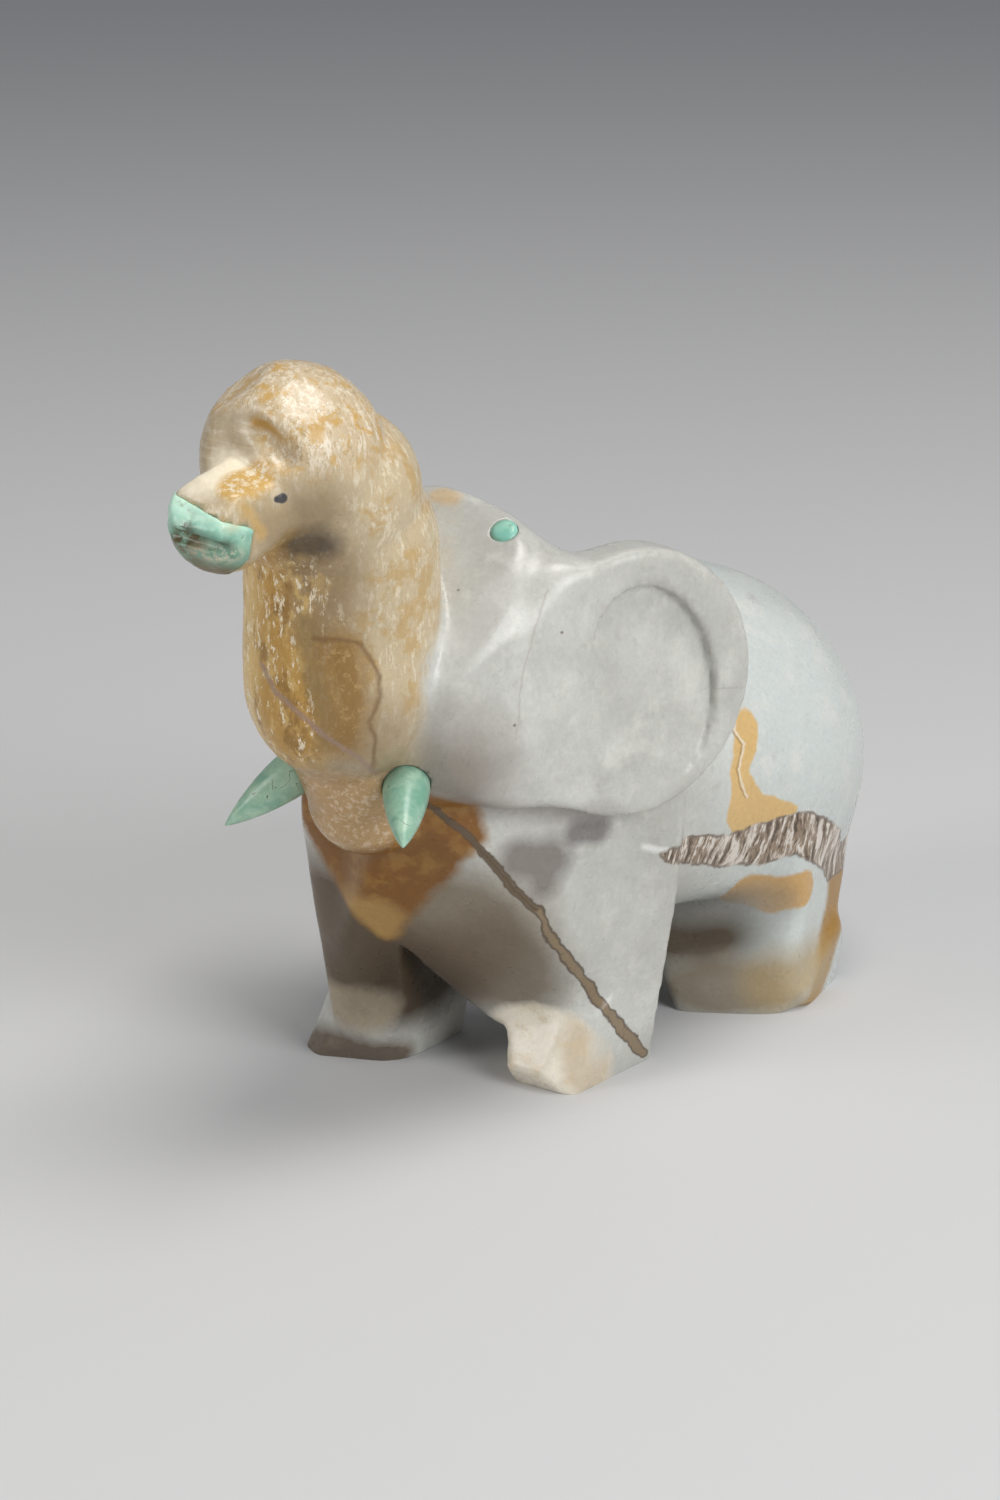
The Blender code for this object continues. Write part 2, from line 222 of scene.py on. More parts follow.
def head(p):
    skull = ellipsoid(p, (0, 2, 43), (12.3, 14.5, 15.5))
    cheeks = ellipsoid(p, (0, 0.5, 36), (12.6, 11, 7.6))
    skull = join(skull, cheeks, 5)
    for side in (1, -1):
        temple = ellipsoid(p, (side * 7.5, 8, 43), (6.0, 8.0, 9.0))
        skull = join(skull, temple, 4)
        local = ear_axes(p, side)
        flat = ellipsoid(local, (0, -9, -1.5), (1000, 10.0, 8.4))
        flat = join(flat, ellipsoid(local, (0, -5, 3.2), (1000, 7.0, 9.4)), 3)
        flat = common(flat, slab(local, (side * 0.35, 0, 0), (side, 0, 0)), 3)
        flat = common(flat, slab(local, (-side * 6.0, 0, 0), (-side, 0, 0)), 1.4)
        skull = join(skull, flat, 3)
    for side in (1, -1):
        skull = faceted(p, skull, (
            ((side * 8.15, 2.2, 52.1), (side * 0.15, -0.61, 0.78)),
            ((side * 11.1, -3.6, 45.6), (side * 0.45, -0.65, 0.61)),
        ), 1.0)
        skull = faceted(p, skull, (
            ((side * 11.0, 3.6, 52.7), (side * 0.45, 0.25, 0.86)),
            ((side * 5.0, 5.4, 54.8), (side * 0.15, 0.78, 0.60)),
        ), 2.6)
    return skull


def trunk(p):
    column = bone(p, (0, -9.8, 41.0), (0, -9.9, 53), 8.5, 8.5)
    column = faceted(p, column, (
        ((-3.8, -17.6, 46), (-0.55, -0.83, 0)),
        ((3.6, -17.4, 46), (0.42, -0.9, 0.02)),
        ((-6.6, -15.0, 45), (-0.86, -0.5, 0)),
        ((6.7, -15.2, 45), (0.80, -0.6, 0)),
    ), 0.3)
    fold = ellipsoid(p, (0, -12.1, 58.0), (8.4, 8.5, 8.2))
    dome = ellipsoid(p, (0, -15.5, 61.7), (7.9, 7.8, 8.1))
    dome = faceted(p, dome, (
        ((-2.5, -21.9, 64), (-0.02, -0.97, 0.22)),
        ((4.5, -20.2, 66.2), (0.55, -0.45, 0.70)),
        ((-2, -17.5, 68.8), (-0.45, -0.40, 0.80)),
        ((-6.4, -18.5, 65.5), (-0.75, -0.45, 0.45)),
    ), 0.3)
    ledge = bone(p, (0.6, -22.3, 65.9), (4.2, -21.6, 63.4), 1.0, 0.8)
    dome = cut(dome, ledge, 0.4)
    shape = join(join(column, fold, 0.3), dome, 0.3)
    snout = bone(p, (0, -14, 60.6), (0, -24.4, 58.3), 5.3, 4.5)
    snout = faceted(p, snout, (
        ((0, -28.3, 57.5), (0.1, -0.97, -0.2)),
        ((0, -28.0, 59.0), (0.08, -0.80, 0.52)),
        ((0, -27.7, 55.9), (0.0, -0.80, -0.60)),
        ((2.2, -24, 61.6), (0.3, -0.2, 0.93)),
        ((4.5, -22, 58.5), (0.91, -0.28, 0.1)),
        ((-3.6, -24, 60.8), (-0.6, -0.2, 0.77)),
    ), 0.3)
    notch = bone(p, (-3.6, -28.9, 57.7), (2.9, -28.1, 56.9), 1.05, 0.8, (1, 1, 0.65))
    return join(shape, cut(snout, notch, 0.2), 0.5)


def ear_axes(p, side):
    """The point seen from the middle of an ear's outer face, with X straight out of it."""
    return p.math("SUBTRACT", scaled((side * 16.5, 10.0, 39.0))).turned((0, 0, -side * 23.2))


def ear(p, side):
    local = ear_axes(p, side)
    flap = ellipsoid(local, (0, 0, 0), (1000, 12.1, 12.0))
    flap = common(flap, slab(local, (side * 0.4, 0, 0), (side, 0, 0)), 1.4)
    return common(flap, slab(local, (-side * 4.0, 0, 0), (-side, 0, 0)), 1.4)


def ear_dish(p, side):
    """The hollow of an ear, deepest at its rear and running out to nothing in front."""
    local = ear_axes(p, side)
    oval = ellipsoid(local, (0, 1.6, -0.4), (1000, 6.5, 9.3), (15, 0, 0))
    return common(oval, slab(local, (side * 0.12, 0, 0), (-side, -0.085, -0.045)), 0.25)


def jaw(p):
    lip = bone(p, (0, -6.0, 34), (-0.6, -5.2, 29.8), 6.8, 5.4)
    return faceted(p, lip, (((0, -11.8, 31), (0.2, -0.95, -0.25)),), 1.0)


def chest(p):
    front = faceted(p, ellipsoid(p, (0.2, 10, 21), (14.2, 17.5, 17)), (
        ((8.7, 7.8, 9.5), (0.36, -0.80, -0.48)),
        ((8.2, -2.1, 26.5), (0.88, -0.467, -0.079)),
    ), 1.6)
    return faceted(p, front, (
        ((-1, -6.0, 19.5), (-0.1, -0.85, -0.52)),
        ((-9, -0.8, 16), (-0.42, -0.90, -0.05)),
    ), 0.9)


def front_left_leg(p):
    upper = faceted(p, bone(p, (7.5, 11.5, 26), (8.5, 12.5, 4), 11.5, 9.0), (
        ((12.5, 19.1, 0), (0.95, -0.2, -0.2)),
        ((8, 19.6, 0), (0, 1, 0.02)),
        ((8.7, 8.0, 9.0), (0.05, -0.88, -0.42)),
        ((12.0, 11.5, 8.9), (0.72, -0.69, -0.1)),
        ((8.2, -2.1, 26.5), (0.88, -0.467, -0.079)),
    ), 1.4)
    toes = faceted(p, ellipsoid(p, (8.8, 12, 2.5), (9, 9, 7)), (
        ((8.5, 6.4, 2.2), (0.02, -0.88, 0.47)),
        ((8.5, 7.1, 0.7), (0, -0.78, -0.62)),
        ((11.7, 8.6, 2), (0.75, -0.64, 0.2)),
        ((5.1, 8, 1.0), (-0.93, -0.3, -0.15)),
        ((8.5, 8.6, 6.6), (0.1, -0.5, 0.86)),
        ((12.4, 14, 1), (0.97, -0.05, -0.1)),
        ((8, 19.2, 1), (0, 1, 0)),
    ), 0.5)
    return join(upper, toes, 0.9)


def front_right_leg(p):
    upper = faceted(p, bone(p, (-7.5, 5.5, 25), (-9.2, 8.0, 5), 9.0, 6.4), (
        ((-12.4, 4, 14), (-0.94, -0.33, -0.05)),
    ), 1.2)
    toes = faceted(p, ellipsoid(p, (-10, 8.5, 2.0), (9, 9, 6)), (
        ((-15.1, 4, 0.5), (-0.95, -0.12, 0.28)),
        ((-13.6, 2.5, 0.8), (-0.45, -0.80, 0.40)),
        ((-10, 1.9, 1.4), (0.1, -0.86, 0.50)),
        ((-9, 2.9, 0.6), (0.35, -0.80, -0.48)),
        ((-5.6, 6, 0.4), (0.86, -0.44, -0.25)),
        ((-10.5, 7, 6.4), (0, -0.25, 0.97)),
        ((-10, 14.5, 3), (0, 1, 0)),
    ), 0.6)
    return join(upper, toes, 1.2)


def front_arch(p):
    """The pointed space between the front legs, a little to the right of the middle."""
    return faceted(p, slab(p, (5.2, 8, 0), (0.885, 0, 0.468)), (
        ((-5.2, 8, 0), (-0.97, 0, 0.2)),
        ((0, 24, 0), (0, 1, 0)),
    ), 1.5)


def rear_leg(p, side):
    leg = faceted(p, ellipsoid(p, (side * 9.5, 38, 14), (10.5, 15, 20)), (
        ((side * 17.4, 39, 5), (side * 0.98, 0.2, -0.04)),
        ((side * 14, 48.0, 3), (side * 0.25, 0.93, -0.25)),
        ((side * 14.2, 33.5, 8), (side * 0.5, -0.86, 0.0)),
        ((side * 6.8, 38, 0), (-side * 0.953, -0.1, -0.303)),
    ), 2.5)
    hollow = bone(p, (side * 6.0, 25.3, 9.2), (side * 19.6, 33.2, 10.6), 4.2, 3.5, (1, 1, 0.75))
    toes = faceted(p, ellipsoid(p, (side * 12.5, 40, 3.0), (8, 9, 6.4)), (
        ((side * 17.8, 40, 2.5), (side * 0.97, 0.2, -0.1)),
        ((side * 14.5, 35.0, 3.2), (side * 0.55, -0.78, 0.3)),
        ((side * 14.5, 35.9, 0.6), (side * 0.42, -0.62, -0.66)),
        ((side * 13, 47.8, 2), (side * 0.2, 0.9, -0.3)),
        ((side * 12, 40, 6.6), (side * 0.45, -0.35, 0.82)),
        ((side * 7.0, 40, 1), (-side * 0.95, -0.2, -0.25)),
    ), 1.0)
    return join(cut(leg, hollow, 3.0), toes, 2.0)


def tail(p):
    """A short tail in low relief down the middle of the rump, with a tuft at its end."""
    spots = (
        ((0, 51.6, 36.0), 1.0), ((0, 55.4, 32.0), 1.4), ((0.1, 57.3, 28.5), 1.45), ((0.2, 58.3, 25), 1.4),
        ((0.4, 58.6, 21.5), 1.35), ((0.6, 58.1, 18), 1.5), ((0.7, 56.9, 14.5), 1.9),
    )
    shape = None
    for (start, start_radius), (end, end_radius) in zip(spots, spots[1:]):
        piece = bone(p, start, end, start_radius, end_radius)
        shape = shape.math("MINIMUM", piece) if shape else piece
    return shape


def stone_field(p):
    """The whole carving in stone, before the cap and the sockets are cut."""
    skull = head(p)
    for side in (1, -1):
        skull = join(skull, ear(p, side), 2.5)
    shape = join(torso(p), skull, 1.2)
    for side in (1, -1):
        shape = cut(shape, ear_dish(p, side), 0.5)
    shape = join(shape, chest(p), 1.5)
    shape = join(shape, jaw(p), 0.8)
    shape = join(shape, trunk(p), 0.8)
    shape = join(shape, front_left_leg(p), 2.5)
    shape = join(shape, front_right_leg(p), 1.5)
    shape = cut(shape, front_arch(p), 0.8)
    for side in (1, -1):
        shape = join(shape, rear_leg(p, side), 2)
    shape = join(shape, tail(p), 1.0)
    return common(shape, slab(p, (0, 0, -1), (0, 0, -1)), 0.2)


def tip_region(p):
    """The lower front of the trunk's end, where the turquoise cap is let in."""
    above = slab(p, (0, -26.5, 59.5), (0.28, 0.25, 1))
    behind = slab(p, (4.4, -25.4, 57), (0.25, 1, -0.25))
    return common(above, behind, 0.5)


def noise(p, size, detail=2.0, rough=0.5, stretch=None):
    """Blender's noise with blobs of about this size in millimetres, from 0 to 1."""
    if stretch:
        p = p.math("MULTIPLY", stretch)
    node = p.tree.nodes.new("ShaderNodeTexNoise")
    node.inputs["Scale"].default_value = 1 / (size * MM)
    node.inputs["Detail"].default_value = detail
    node.inputs["Roughness"].default_value = rough
    p.tree.links.new(p.socket, node.inputs["Vector"])
    return node


def noise_value(*args, **kw):
    node = noise(*args, **kw)
    return Field(args[0].tree, node.outputs[0])


def flats(p, size):
    """0 in the middle of each hand-worked flat to 1 at its edges."""
    node = p.tree.nodes.new("ShaderNodeTexVoronoi")
    node.inputs["Scale"].default_value = 1 / (size * MM)
    node.inputs["Randomness"].default_value = 1.0
    p.tree.links.new(p.socket, node.inputs["Vector"])
    reach = Field(p.tree, node.outputs["Distance"])
    return (reach * reach).math("MINIMUM", 1.0)


def within(field, soft):
    """1 deep inside a shape and 0 outside it."""
    return (field / (-soft * MM)).math("MAXIMUM", 0.0).math("MINIMUM", 1.0)


def working(p):
    """How far the hand-worked surface lies under the plain shape."""
    sway = noise_value(p, 7.0, 1.0, 0.4) * (SWAY_DEPTH * MM)
    rough = within(ellipsoid(p, (0, -18, 45), (12, 9, 17)), 3)
    crown = within(ellipsoid(p, (0, -16, 66), (12, 12, 9)), 3)
    chips = noise_value(p, 1.9, 3.0, 0.6, (1, 1, 0.6)) * rough * (CHIP_DEPTH * MM)
    dimples = noise_value(p, 3.0, 3.0, 0.6) * crown * (DIMPLE_DEPTH * MM)
    facets = (-flats(p, 6.5) + 1.0) * (rough + crown * 0.5 + 0.25) * (FLAT_DEPTH * MM)
    return sway + chips + dimples + facets - MEAN_DEPTH * MM


def body_field(p):
    return cut(stone_field(p) + working(p), tip_region(p) + CAP_OVERLAP, 0.1)


def tip_field(p):
    dents = noise_value(p, 1.6, 3.0, 0.6) * (DENT_DEPTH * MM) - MEAN_DENT * MM
    return common(stone_field(p) + dents, tip_region(p), 0.1)


def carve(name, field_of, block, grid, material, cutters=()):
    """A mesh object on the zero surface of a field inside a block, less its cutters."""
    low, high = block
    tree = bpy.data.node_groups.new(name, "GeometryNodeTree")
    tree.interface.new_socket("Geometry", in_out="OUTPUT", socket_type="NodeSocketGeometry")
    place = tree.nodes.new("GeometryNodeInputPosition")
    field = field_of(Point(tree, place.outputs[0]))
    cube = tree.nodes.new("GeometryNodeVolumeCube")
    cube.inputs["Background"].default_value = -1.0
    cube.inputs["Min"].default_value = scaled(low)
    cube.inputs["Max"].default_value = scaled(high)
    for axis, a, b in zip("XYZ", low, high):
        cube.inputs["Resolution " + axis].default_value = round((b - a) * MM / grid)
    density = -field / grid + 1.0
    tree.links.new(density.socket, cube.inputs["Density"])
    skin = tree.nodes.new("GeometryNodeVolumeToMesh")
    skin.inputs["Threshold"].default_value = 1.0
    tree.links.new(cube.outputs[0], skin.inputs["Volume"])
    out = tree.nodes.new("NodeGroupOutput")
    tree.links.new(skin.outputs[0], out.inputs[0])
    block = bpy.data.objects.new(name, bpy.data.meshes.new(name))
    bpy.context.scene.collection.objects.link(block)
    block.modifiers.new("Carve", "NODES").node_group = tree
    for cutter in cutters:
        hole = block.modifiers.new(cutter.name, "BOOLEAN")
        hole.operation = "DIFFERENCE"
        hole.solver = "EXACT"
        hole.object = cutter
    graph = bpy.context.evaluated_depsgraph_get()
    mesh = bpy.data.meshes.new_from_object(block.evaluated_get(graph))
    for rest in (block, *cutters):
        bpy.data.objects.remove(rest)
    return placed(name, mesh, material)


def placed(name, mesh, material):
    """A finished piece at the carving's place, in its stone, riding on the body."""
    mesh.name = name
    mesh.materials.clear()
    mesh.materials.append(material)
    for face in mesh.polygons:
        face.use_smooth = True
        face.material_index = 0
    piece = bpy.data.objects.new(name, mesh)
    piece.location = SHIFT
    bpy.context.scene.collection.objects.link(piece)
    bpy.context.view_layer.update()
    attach(piece, "root")
    return piece


def turned_mesh(name, profile, place, way, steps=TURNING_STEPS):
    """A mesh turned about its own axis, from (radius, height) pairs, its +Z laid along way."""
    work = bmesh.new()
    ring = [work.verts.new((radius, 0, height)) for radius, height in profile]
    edges = [work.edges.new(pair) for pair in zip(ring, ring[1:])]
    bmesh.ops.spin(work, geom=ring + edges, cent=(0, 0, 0), axis=(0, 0, 1), angle=math.tau, steps=steps)
    bmesh.ops.remove_doubles(work, verts=work.verts, dist=1e-7)
    bmesh.ops.recalc_face_normals(work, faces=work.faces)
    stand = Vector(way).to_track_quat("Z", "X").to_matrix().to_4x4()
    bmesh.ops.transform(work, matrix=Matrix.Translation(scaled(place)) @ stand, verts=work.verts)
    mesh = bpy.data.meshes.new(name)
    work.to_mesh(mesh)
    work.free()
    return mesh


def cutter(name, mesh):
    obj = bpy.data.objects.new(name, mesh)
    obj.hide_render = True
    bpy.context.scene.collection.objects.link(obj)
    return obj


def floor_cutter():
    work = bmesh.new()
    bmesh.ops.create_cube(work, size=2.5 * HEIGHT)
    bmesh.ops.translate(work, vec=(0, 0.2 * HEIGHT, -1.25 * HEIGHT), verts=work.verts)
    mesh = bpy.data.meshes.new("floor_cut")
    work.to_mesh(mesh)
    work.free()
    return cutter("floor_cut", mesh)


def tusk_profile():
    """A round root, then a full cone that closes in a small blunt point."""
    radius = TUSK_DIAMETER / 2
    rows = [(0, -TUSK_ROOT), (radius, -TUSK_ROOT)]
    for step in range(TUSK_RINGS):
        along = step / TUSK_RINGS
        rows.append((radius * (1 - along ** 1.6) ** 0.85, TUSK_LENGTH * along))
    return rows + [(0, TUSK_LENGTH)]


def eye_profile():
    """A flat-bottomed disc with a slightly swollen face."""
    radius = EYE_DIAMETER / 2
    face = [(radius, 0), (radius * 0.6, EYE_SWELL * 0.7), (0, EYE_SWELL)]
    return [(0, -EYE_DEPTH), (radius, -EYE_DEPTH)] + face


def socket_profile(diameter, depth, reach):
    """A round hole with the gap for glue round the inlay, open for a reach above its mouth."""
    radius = diameter / 2 + GLUE_GAP
    return [(0, -depth - GLUE_GAP), (radius, -depth - GLUE_GAP), (radius, reach), (0, reach)]


# Stone colours, worked out at each point of the surface.


class Stone:
    """A material under construction: one colour that is painted over, and its bumps."""

    def __init__(self, name):
        self.material = bpy.data.materials.new(name)
        self.material.use_nodes = True
        self.tree = self.material.node_tree
        self.shader = self.tree.nodes["Principled BSDF"]
        coord = self.tree.nodes.new("ShaderNodeTexCoord")
        self.p = Point(self.tree, coord.outputs["Object"])
        self.colour = None

    def value(self, *args, **kw):
        return noise_value(*args, **kw)

    def wander(self, p, size, amount, detail=2.0):
        """The point pushed about by up to half of amount, in blobs of a size."""
        node = noise(p, size, detail)
        push = Point(self.tree, node.outputs["Color"])
        return p.math("ADD", push.math("SUBTRACT", (0.5, 0.5, 0.5)).math("SCALE", amount * MM))

    def inside(self, field, soft):
        """1 within a shape and 0 outside, over an edge of a softness in millimetres."""
        node = self.tree.nodes.new("ShaderNodeMath")
        node.operation = "MULTIPLY_ADD"
        node.use_clamp = True
        self.tree.links.new(field.socket, node.inputs[0])
        node.inputs[1].default_value = -0.5 / (soft * MM)
        node.inputs[2].default_value = 0.5
        return Field(self.tree, node.outputs[0])

    def ramp(self, field, low, high):
        """0 at low to 1 at high, clamped."""
        node = self.tree.nodes.new("ShaderNodeMapRange")
        node.inputs["From Min"].default_value = low
        node.inputs["From Max"].default_value = high
        self.tree.links.new(field.socket, node.inputs["Value"])
        return Field(self.tree, node.outputs["Result"])

    def mixed(self, under, over, mask):
        node = self.tree.nodes.new("ShaderNodeMix")
        node.data_type = "RGBA"
        for entry, value in ((node.inputs[6], under), (node.inputs[7], over)):
            if isinstance(value, tuple):
                entry.default_value = (*value, 1)
            else:
                self.tree.links.new(value, entry)
        if isinstance(mask, Field):
            self.tree.links.new(mask.socket, node.inputs["Factor"])
        else:
            node.inputs["Factor"].default_value = mask
        return node.outputs[2]

    def paint(self, over, mask):
        self.colour = self.mixed(self.colour, over, mask)

    def spot(self, over, p, centre, radii, soft, amount=1.0, turn=(0, 0, 0)):
        """Paints an ellipsoid of the stone, with a soft edge."""
        self.paint(over, self.inside(ellipsoid(p, centre, radii, turn), soft) * amount)

    def shade(self, field, low, high):
        """Multiplies the colour by a factor from low to high with a 0 to 1 field."""
        factor = self.mixed((low,) * 3, (high,) * 3, field)
        node = self.tree.nodes.new("ShaderNodeMix")
        node.data_type = "RGBA"
        node.blend_type = "MULTIPLY"
        node.inputs["Factor"].default_value = 1.0
        self.tree.links.new(self.colour, node.inputs[6])
        self.tree.links.new(factor, node.inputs[7])
        self.colour = node.outputs[2]

    def bumps(self, height, distance, strength=1.0, normal=None):
        node = self.tree.nodes.new("ShaderNodeBump")
        node.inputs["Distance"].default_value = distance * MM
        node.inputs["Strength"].default_value = strength
        self.tree.links.new(height.socket, node.inputs["Height"])
        if normal:
            self.tree.links.new(normal, node.inputs["Normal"])
        return node.outputs[0]


def line(p, places, start_radius, end_radius=None, flatten=(1, 1, 1)):
    """A band round a line through places, its radius going evenly from start to end."""
    end_radius = start_radius if end_radius is None else end_radius
    steps = len(places) - 1
    shape = None
    for i in range(steps):
        a = start_radius + (end_radius - start_radius) * i / steps
        b = start_radius + (end_radius - start_radius) * (i + 1) / steps
        piece = bone(p, places[i], places[i + 1], a, b, flatten)
        shape = piece if shape is None else shape.math("MINIMUM", piece)
    return shape


def seam(p, places, start_radius, end_radius=None, facing=-35):
    """The same line as a sheet that runs into the stone, seen on faces turned by facing degrees."""
    turn = Matrix.Rotation(math.radians(-facing), 3, "Z")
    places = [tuple(turn @ Vector(place)) for place in places]
    return line(p.turned((0, 0, facing)), places, start_radius, end_radius, (9, 1, 1))


VEIN = ((4.6, -7, 31.4), (5.9, -5.3, 30), (6.5, -3.6, 28.6), (8.1, -2, 26.4), (8.8, -0.1, 23.9),
        (9.6, 1.7, 21.3), (10.6, 4, 18.8), (11.2, 6.2, 14.7), (11.8, 8.9, 11.5), (12, 11.4, 8.2),
        (12.8, 14.4, 4.5), (12.7, 17.9, 1))
MAUVE = ((-1.5, -18.3, 44.2), (-0.3, -18.3, 42.4), (2.2, -17.9, 40.5), (4.6, -16.2, 37.9), (5.5, -13.9, 36.1),
         (5, -10.5, 33.6))
ARC = ((3.6, -17.3, 47.2), (5.6, -16.2, 47.1), (6.6, -15.1, 46.6), (7.4, -13.9, 43.9), (7.4, -13.9, 42.2),
       (6.9, -14.6, 40), (6.9, -13.7, 38), (5.8, -12.9, 35))
BAND_LEFT = ((16.2, 15.4, 22), (16.5, 16.9, 21.4), (15.2, 21.9, 20.1), (15.7, 26.5, 18.8), (16.9, 32.2, 18.3))
BAND_RIGHT = ((16.9, 32.2, 18.3), (18.1, 35.8, 18.4), (18.2, 40.4, 15.9), (17.2, 44.5, 12.9),
              (16.1, 47.5, 12.6), (12.5, 53.5, 14.2))
PITS = ((7, -2.5, 48.6), (14.2, 2.4, 45), (12.7, -2.3, 37.7), (17.6, 12.2, 41.5), (-2.9, -22.4, 64.4))
WORM = ((15.9, 27.1, 30.6), (16.6, 28, 28.8), (16.8, 26.8, 26.9), (17.1, 27.2, 25), (17, 27.9, 24))


class Marble(Stone):
    """The carving's stone, with the wandering points and the speckles that its parts share."""

    def __init__(self):
        super().__init__("mottled_marble")
        self.broad = self.wander(self.p, 9, 3.0)
        self.near = self.wander(self.wander(self.p, 3.5, 1.2), 1.0, 0.5)
        self.crisp = self.wander(self.wander(self.p, 2.4, 0.8), 0.7, 0.25)
        self.grain = self.value(self.p, 0.45, 3, 0.75)
        self.fleck = self.value(self.p, 0.7, 4, 0.8)
        self.streak = self.value(self.p, 0.9, 4, 0.75, (1.4, 1.4, 0.45))


def paint_grey(s):
    """Grey marble, cooler on the body and warmer towards the shoulder, with painted shade low on the cheek.
    """
    broad, near = s.broad, s.near
    cloud = s.value(broad, 11, 4, 0.65)
    patchy = s.value(broad, 4.5, 4, 0.65)
    s.colour = s.mixed((0.49, 0.485, 0.445), (0.61, 0.61, 0.565), s.ramp(cloud, 0.35, 0.65))
    s.paint((0.565, 0.60, 0.575), s.inside(slab(broad, (0, 26, 0), (0, -1, 0)), 5))
    s.paint((0.67, 0.665, 0.61), s.ramp(patchy, 0.52, 0.66) * 0.6)
    s.paint((0.40, 0.365, 0.335), s.ramp(s.value(broad, 3.4, 4, 0.7), 0.60, 0.74) * 0.5)
    # Painted shade: a darker grey-brown low on the cheek, partly the stone's mauve tone, then a line of
    # painted shade in the crease under the cheek.
    s.spot((0.27, 0.23, 0.19), broad, (8.5, -6.5, 32.5), (5.5, 5, 6.5), 3, 0.9)
    shade_under_cheek = line(near, ((9, -3, 30), (12.5, 4, 28), (14.5, 9, 27.6)), 1.3)
    s.paint((0.27, 0.235, 0.22), s.inside(shade_under_cheek, 1.3) * 0.8)


def paint_trunk(s):
    """Cream in the whole trunk, running out over the front of the head. Gives its mask."""
    broad, near, streak = s.broad, s.near, s.streak
    cream = join(slab(near, (7.4, -6.4, 46.8), (0, 1, -1.15)), slab(near, (0, -8.7, 40), (0.12, 1, 0)), 2)
    cream = common(cream, slab(near, (0, 0, 30), (0, 0, -1)), 0.5)
    cream_mask = s.inside(cream, 1.0)
    s.paint((0.56, 0.45, 0.285), cream_mask)
    s.paint((0.72, 0.64, 0.48), cream_mask * s.ramp(streak, 0.52, 0.60) * 0.75)
    s.paint((0.50, 0.33, 0.13), cream_mask * s.ramp(s.value(broad, 3.2, 5, 0.7), 0.52, 0.60) * 0.75)
    s.spot((0.36, 0.27, 0.165), broad, (5.0, -12.5, 37), (4.5, 4.5, 5.5), 1.6, 0.8)
    return cream_mask


def paint_dome(s):
    """Pinkish cream with ochre near its front, and a smooth greyish face."""
    p, near, crisp = s.p, s.near, s.crisp
    dome_mask = s.inside(ellipsoid(near, (0, -16, 66), (10, 9, 6.0)), 1.2)
    s.paint((0.60, 0.475, 0.31), dome_mask * 0.85)
    s.paint((0.76, 0.67, 0.52), dome_mask * s.ramp(s.streak, 0.50, 0.56) * 0.8)
    veins = (s.value(near, 2.6, 4, 0.7, (1, 1, 0.45)) - 0.5).math("ABSOLUTE")
    s.paint((0.40, 0.28, 0.12), dome_mask * s.ramp(veins, 0.014, 0.003) * 0.7)
    s.paint((0.56, 0.34, 0.09), dome_mask * s.ramp(s.value(near, 1.9, 5, 0.75), 0.52, 0.60) * 0.85)
    window = ellipsoid(crisp, (-2.2, -22.2, 64.0), (4.0, 2.6, 2.8), (0, -20, 0))
    s.paint((0.48, 0.385, 0.25), s.inside(window, 0.5) * 0.9)
    pale_flecks = s.ramp(s.value(p, 1.2, 3, 0.6, (0.4, 1, 2.2)), 0.52, 0.6)
    s.paint((0.64, 0.56, 0.42), s.inside(window, 0.5) * pale_flecks * 0.6)
    ledge_stain = line(crisp, ((0.9, -20.9, 65.6), (2.0, -20.7, 65.4), (3.2, -20.3, 64.6)), 0.55)
    s.paint((0.46, 0.26, 0.06), s.inside(ledge_stain, 0.3))


def paint_snout(s):
    """Cream above with ochre and pale flecks, plain tan at its side."""
    near, crisp = s.near, s.crisp
    s.spot((0.86, 0.77, 0.59), near, (-0.8, -25.5, 62.2), (3.6, 4.5, 1.8), 0.6)
    side_face = ellipsoid(near, (6.2, -21.8, 58.0), (4.2, 4.6, 4.4))
    side_face = common(side_face, slab(near, (4.3, -22, 60.2), (-0.6, 0, 1)), 0.3)
    s.paint((0.36, 0.265, 0.15), s.inside(side_face, 1.3))
    ochre_spot = ellipsoid(crisp, (2.1, -24.0, 61.6), (1.7, 3.2, 1.7))
    s.paint((0.60, 0.38, 0.12), s.inside(ochre_spot, 0.35))
    s.paint((0.82, 0.74, 0.58), s.inside(ochre_spot, 0.5) * s.ramp(s.fleck, 0.50, 0.57) * 0.8)
    snout_edge = line(crisp, ((2.6, -26.3, 60.6), (3.6, -25, 59), (4.0, -24.3, 57.5)), 0.45)
    s.paint((0.56, 0.36, 0.12), s.inside(snout_edge, 0.3) * 0.8)


